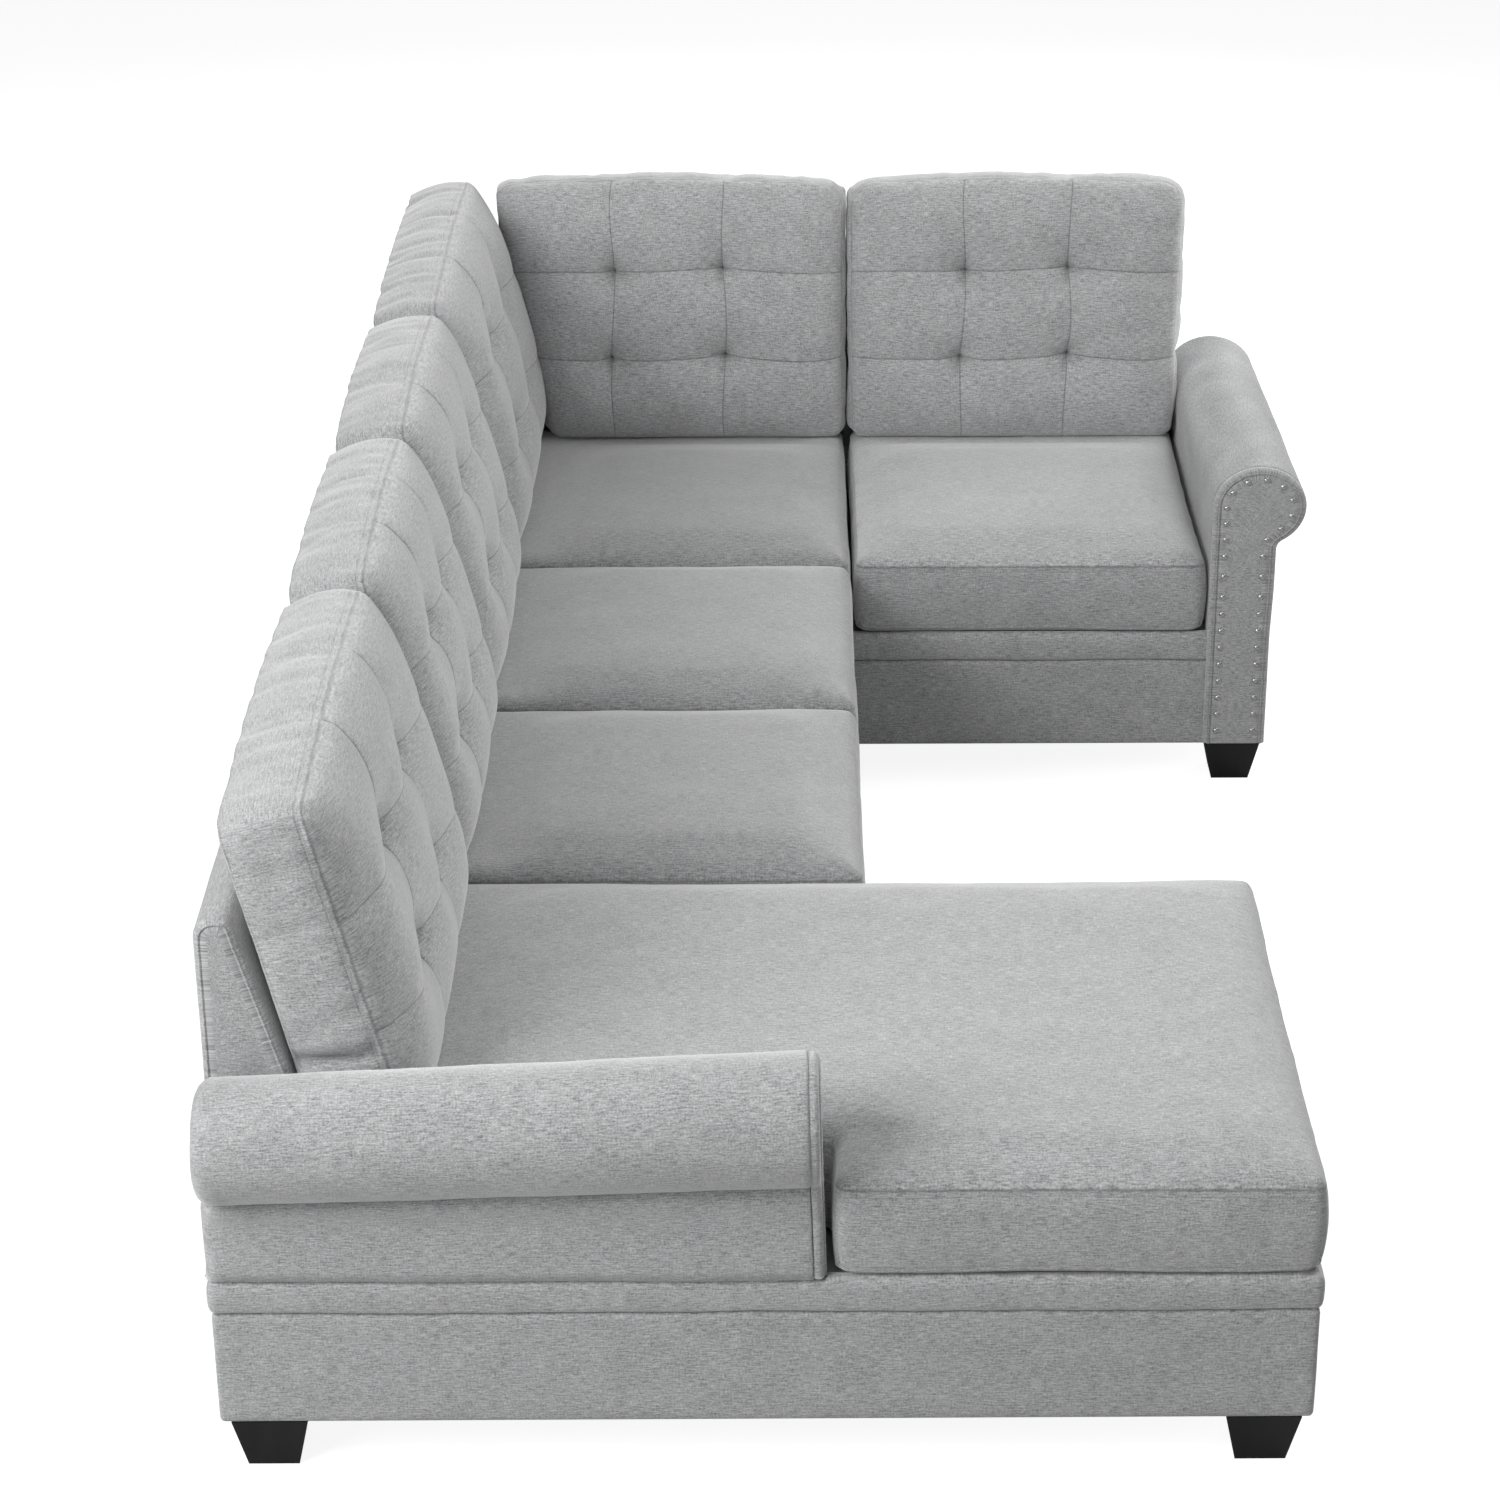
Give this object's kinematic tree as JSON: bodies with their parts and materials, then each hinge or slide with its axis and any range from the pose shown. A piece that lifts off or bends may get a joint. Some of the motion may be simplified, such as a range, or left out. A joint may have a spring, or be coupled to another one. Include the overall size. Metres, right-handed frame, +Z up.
{
  "type": "u-shaped sectional sofa",
  "caption": "U-shaped sectional sofa in grey fabric: chaise, middle seats and corner return, tufted loose back cushions, rolled arms, short black legs.",
  "frame": {"origin": "middle of the sofa's outline, on the floor", "axes": "+Z up, +X along the long back from the chaise to the return, +Y towards the rear of the long back"},
  "size_m": [3.262, 1.79, 0.9968],
  "materials": {
    "grey_chenille": "soft napped chenille with a fine horizontal slub",
    "deck_cloth": "plain woven lining cloth",
    "dust_cloth": "black non-woven cloth",
    "pine": "unfinished",
    "black_leg": "satin black",
    "spring_steel": "oiled wire",
    "zinc_plate": "bright zinc"
  },
  "bodies": {
    "chaise": {"chaise_base_frame": "pine", "chaise_base_cover": "grey_chenille", "chaise_dust_cover": "dust_cloth", "chaise_springs": "spring_steel", "chaise_deck": "deck_cloth", "chaise_leg_rear_left": "black_leg", "chaise_leg_front_left": "black_leg", "chaise_leg_rear_right": "black_leg", "chaise_leg_front_right": "black_leg", "chaise_back_cover": "grey_chenille", "chaise_back_frame": "pine", "chaise_arm_cover": "grey_chenille", "chaise_arm_frame": "pine", "chaise_arm_front_panel": "grey_chenille", "chaise_rear_tongue": "zinc_plate", "chaise_front_tongue": "zinc_plate"},
    "middle": {"middle_base_frame": "pine", "middle_base_cover": "grey_chenille", "middle_dust_cover": "dust_cloth", "middle_springs": "spring_steel", "middle_deck": "deck_cloth", "middle_leg_rear_left": "black_leg", "middle_leg_front_left": "black_leg", "middle_leg_rear_right": "black_leg", "middle_leg_front_right": "black_leg", "middle_back_cover": "grey_chenille", "middle_back_frame": "pine", "chaise_rear_jaw": "zinc_plate", "chaise_front_jaw": "zinc_plate", "return_rear_jaw": "zinc_plate", "return_front_jaw": "zinc_plate"},
    "return": {"return_base_frame": "pine", "return_base_cover": "grey_chenille", "return_dust_cover": "dust_cloth", "return_springs": "spring_steel", "return_deck": "deck_cloth", "return_leg_rear_left": "black_leg", "return_leg_front_left": "black_leg", "return_leg_rear_right": "black_leg", "return_leg_front_right": "black_leg", "return_side_back_cover": "grey_chenille", "return_far_back_cover": "grey_chenille", "return_back_frame": "pine", "return_arm_cover": "grey_chenille", "return_arm_frame": "pine", "return_arm_front_panel": "grey_chenille", "return_rear_tongue": "zinc_plate", "return_front_tongue": "zinc_plate"},
    "chaise_seat_cushion": {"chaise_seat_cushion": "grey_chenille"},
    "middle_seat_cushion_1": {"middle_seat_cushion_1": "grey_chenille"},
    "middle_seat_cushion_2": {"middle_seat_cushion_2": "grey_chenille"},
    "corner_seat_cushion": {"corner_seat_cushion": "grey_chenille"},
    "end_seat_cushion": {"end_seat_cushion": "grey_chenille"},
    "chaise_back_cushion": {"chaise_back_cushion": "grey_chenille"},
    "middle_back_cushion_1": {"middle_back_cushion_1": "grey_chenille"},
    "middle_back_cushion_2": {"middle_back_cushion_2": "grey_chenille"},
    "corner_side_back_cushion": {"corner_side_back_cushion": "grey_chenille"},
    "corner_far_back_cushion": {"corner_far_back_cushion": "grey_chenille"},
    "end_back_cushion": {"end_back_cushion": "grey_chenille"}
  },
  "joints": [
    {"name": "chaise_pull_apart", "type": "slide", "parent": "middle", "child": "chaise", "axis": [-1, 0, 0], "range_m": [0, 0.5]},
    {"name": "return_pull_apart", "type": "slide", "parent": "middle", "child": "return", "axis": [1, 0, 0], "range_m": [0, 0.5]},
    {"name": "chaise_seat_cushion_lift", "type": "slide", "parent": "chaise", "child": "chaise_seat_cushion", "axis": [0, 0, 1], "range_m": [0, 0.45]},
    {"name": "middle_seat_cushion_1_lift", "type": "slide", "parent": "middle", "child": "middle_seat_cushion_1", "axis": [0, 0, 1], "range_m": [0, 0.45]},
    {"name": "middle_seat_cushion_2_lift", "type": "slide", "parent": "middle", "child": "middle_seat_cushion_2", "axis": [0, 0, 1], "range_m": [0, 0.45]},
    {"name": "corner_seat_cushion_lift", "type": "slide", "parent": "return", "child": "corner_seat_cushion", "axis": [0, 0, 1], "range_m": [0, 0.45]},
    {"name": "end_seat_cushion_lift", "type": "slide", "parent": "return", "child": "end_seat_cushion", "axis": [0, 0, 1], "range_m": [0, 0.45]},
    {"name": "chaise_back_cushion_lift", "type": "slide", "parent": "chaise_seat_cushion", "child": "chaise_back_cushion", "axis": [0, 0.2419, 0.9703], "range_m": [0, 0.5]},
    {"name": "middle_back_cushion_1_lift", "type": "slide", "parent": "middle_seat_cushion_1", "child": "middle_back_cushion_1", "axis": [0, 0.2419, 0.9703], "range_m": [0, 0.5]},
    {"name": "middle_back_cushion_2_lift", "type": "slide", "parent": "middle_seat_cushion_2", "child": "middle_back_cushion_2", "axis": [0, 0.2419, 0.9703], "range_m": [0, 0.5]},
    {"name": "corner_side_back_cushion_lift", "type": "slide", "parent": "corner_seat_cushion", "child": "corner_side_back_cushion", "axis": [0, 0.2419, 0.9703], "range_m": [0, 0.5]},
    {"name": "corner_far_back_cushion_lift", "type": "slide", "parent": "corner_seat_cushion", "child": "corner_far_back_cushion", "axis": [0.2419, 0, 0.9703], "range_m": [0, 0.5]},
    {"name": "end_back_cushion_lift", "type": "slide", "parent": "end_seat_cushion", "child": "end_back_cushion", "axis": [0.2419, 0, 0.9703], "range_m": [0, 0.5]}
  ]
}
